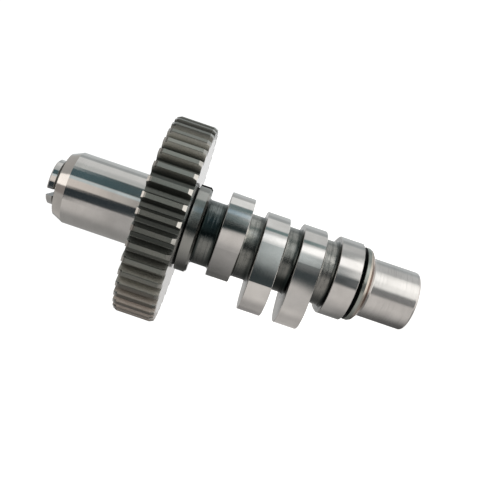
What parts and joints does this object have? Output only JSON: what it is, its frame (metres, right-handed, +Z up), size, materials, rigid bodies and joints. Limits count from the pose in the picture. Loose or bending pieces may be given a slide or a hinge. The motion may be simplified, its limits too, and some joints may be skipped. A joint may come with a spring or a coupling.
{
  "type": "camshaft",
  "caption": "Camshaft with ground lobes, a conical thrust shoulder, two bearing journals, a slotted drive stub and a pressed-on spur drive gear.",
  "frame": {"origin": "centre of the flat end face of the plain journal, which the camshaft stands on", "axes": "+Z up along the shaft from the plain end to the slotted stub; -Y towards the picture's viewpoint; +X towards the top of the picture"},
  "size_m": [0.0698, 0.0698, 0.1288],
  "materials": {
    "ground_shaft": "ground bright on journals and lobes, dark as-turned on the necks",
    "dark_gear": "dark oiled hobbed teeth with bright bevelled tooth ends",
    "key_steel": "plain drawn key steel"
  },
  "bodies": {
    "root": {"camshaft": "ground_shaft", "drive_gear": "dark_gear", "gear_key": "key_steel"}
  },
  "joints": []
}
